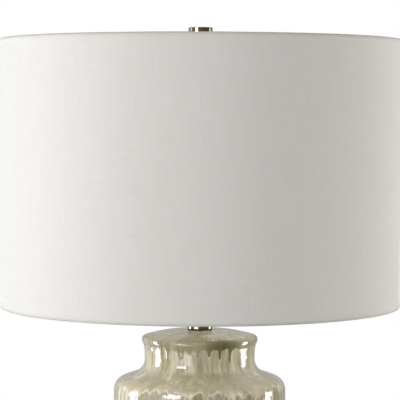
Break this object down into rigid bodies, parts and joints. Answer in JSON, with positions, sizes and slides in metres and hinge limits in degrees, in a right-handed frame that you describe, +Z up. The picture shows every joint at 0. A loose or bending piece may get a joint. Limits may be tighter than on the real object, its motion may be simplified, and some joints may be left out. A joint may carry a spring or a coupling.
{
  "type": "table lamp",
  "caption": "Ginger jar table lamp: drip-glazed hollow jar on a low round foot, wire harp, turn-knob socket with bulb, and a wide ivory linen drum shade.",
  "frame": {"origin": "centre of the underside, on the surface the lamp stands on", "axes": "+Z up the lamp's axis; -Y towards the front, where the switch knob points; +Y towards the back, where the cord inlet is; +X to the right seen from the front"},
  "size_m": [0.4063, 0.4064, 0.6845],
  "materials": {
    "drip_glaze": "gloss reactive glaze in sage, olive and cream that has run down in drips and streaks",
    "warm_nickel": "polished warm nickel plate, faintly brushed round the axis",
    "zinc_steel": "zinc plated steel hardware",
    "bare_brass": "plain brass, lightly dulled",
    "bulb_base_metal": "bright drawn aluminium",
    "bulb_plastic": "satin white plastic",
    "bulb_diffuser_plastic": "frosted opal plastic",
    "circuit_board": "white solder mask",
    "phenolic": "dark moulded phenolic",
    "black_plastic": "black moulded plastic",
    "gasket_rubber": "dark rubber sheet",
    "insulating_card": "grey-brown pressed card",
    "felt": "dark pressed felt",
    "frame_white": "white powder coat on steel wire",
    "shade_lining_plastic": "satin white styrene sheet",
    "shade_linen": "fine plain-weave ivory linen"
  },
  "bodies": {
    "base": {"felt_pad": "felt", "foot": "warm_nickel", "cord_bushing": "black_plastic", "seat_gasket": "gasket_rubber", "threaded_pipe": "zinc_steel", "base_washer": "zinc_steel", "lock_washer": "zinc_steel", "base_nut": "zinc_steel", "ceramic_jar": "drip_glaze", "neck_gasket": "gasket_rubber", "neck_tube": "warm_nickel", "harp_saddle": "warm_nickel", "saddle_nut": "zinc_steel", "socket_cap": "warm_nickel", "cap_set_screw": "zinc_steel", "socket_shell": "warm_nickel", "insulating_sleeve": "insulating_card", "switch_block": "phenolic", "terminal_screws": "bare_brass", "screw_shell": "bare_brass", "centre_contact": "bare_brass"},
    "knob": {"switch_shaft": "bare_brass", "switch_knob": "black_plastic"},
    "bulb": {"bulb_tip": "bare_brass", "bulb_insulator": "phenolic", "bulb_screw_base": "bulb_base_metal", "bulb_collar": "bulb_plastic", "led_board": "circuit_board", "bulb_diffuser": "bulb_diffuser_plastic"},
    "harp": {"harp_bow": "warm_nickel"},
    "ferrule_left": {"ferrule_left": "warm_nickel"},
    "ferrule_right": {"ferrule_right": "warm_nickel"},
    "shade": {"swivel_stud": "warm_nickel", "spider_hub": "frame_white", "spider_arms": "frame_white", "top_ring": "frame_white", "bottom_ring": "frame_white", "shade_lining": "shade_lining_plastic", "shade_fabric": "shade_linen", "top_edge": "shade_linen", "bottom_edge": "shade_linen"},
    "finial": {"finial": "warm_nickel"}
  },
  "joints": [
    {"name": "switch_turn", "type": "hinge", "parent": "base", "child": "knob", "pos_m": [0, -0.02, 0.438], "axis": [0, -1, 0], "continuous": true},
    {"name": "bulb_unscrew", "type": "hinge", "parent": "base", "child": "bulb", "pos_m": [0, 0, 0.46], "axis": [0, 0, 1], "range_deg": [0, 1440]},
    {"name": "harp_lift", "type": "slide", "parent": "base", "child": "harp", "axis": [0, 0, 1], "range_m": [0, 0.03]},
    {"name": "ferrule_left_slide", "type": "slide", "parent": "harp", "child": "ferrule_left", "axis": [0, 0, 1], "range_m": [0, 0.0185]},
    {"name": "ferrule_right_slide", "type": "slide", "parent": "harp", "child": "ferrule_right", "axis": [0, 0, 1], "range_m": [0, 0.0185]},
    {"name": "shade_turn", "type": "hinge", "parent": "harp", "child": "shade", "pos_m": [0, 0, 0.66], "axis": [0, 0, 1], "continuous": true},
    {"name": "finial_unscrew", "type": "hinge", "parent": "shade", "child": "finial", "pos_m": [0, 0, 0.67], "axis": [0, 0, 1], "continuous": true}
  ]
}
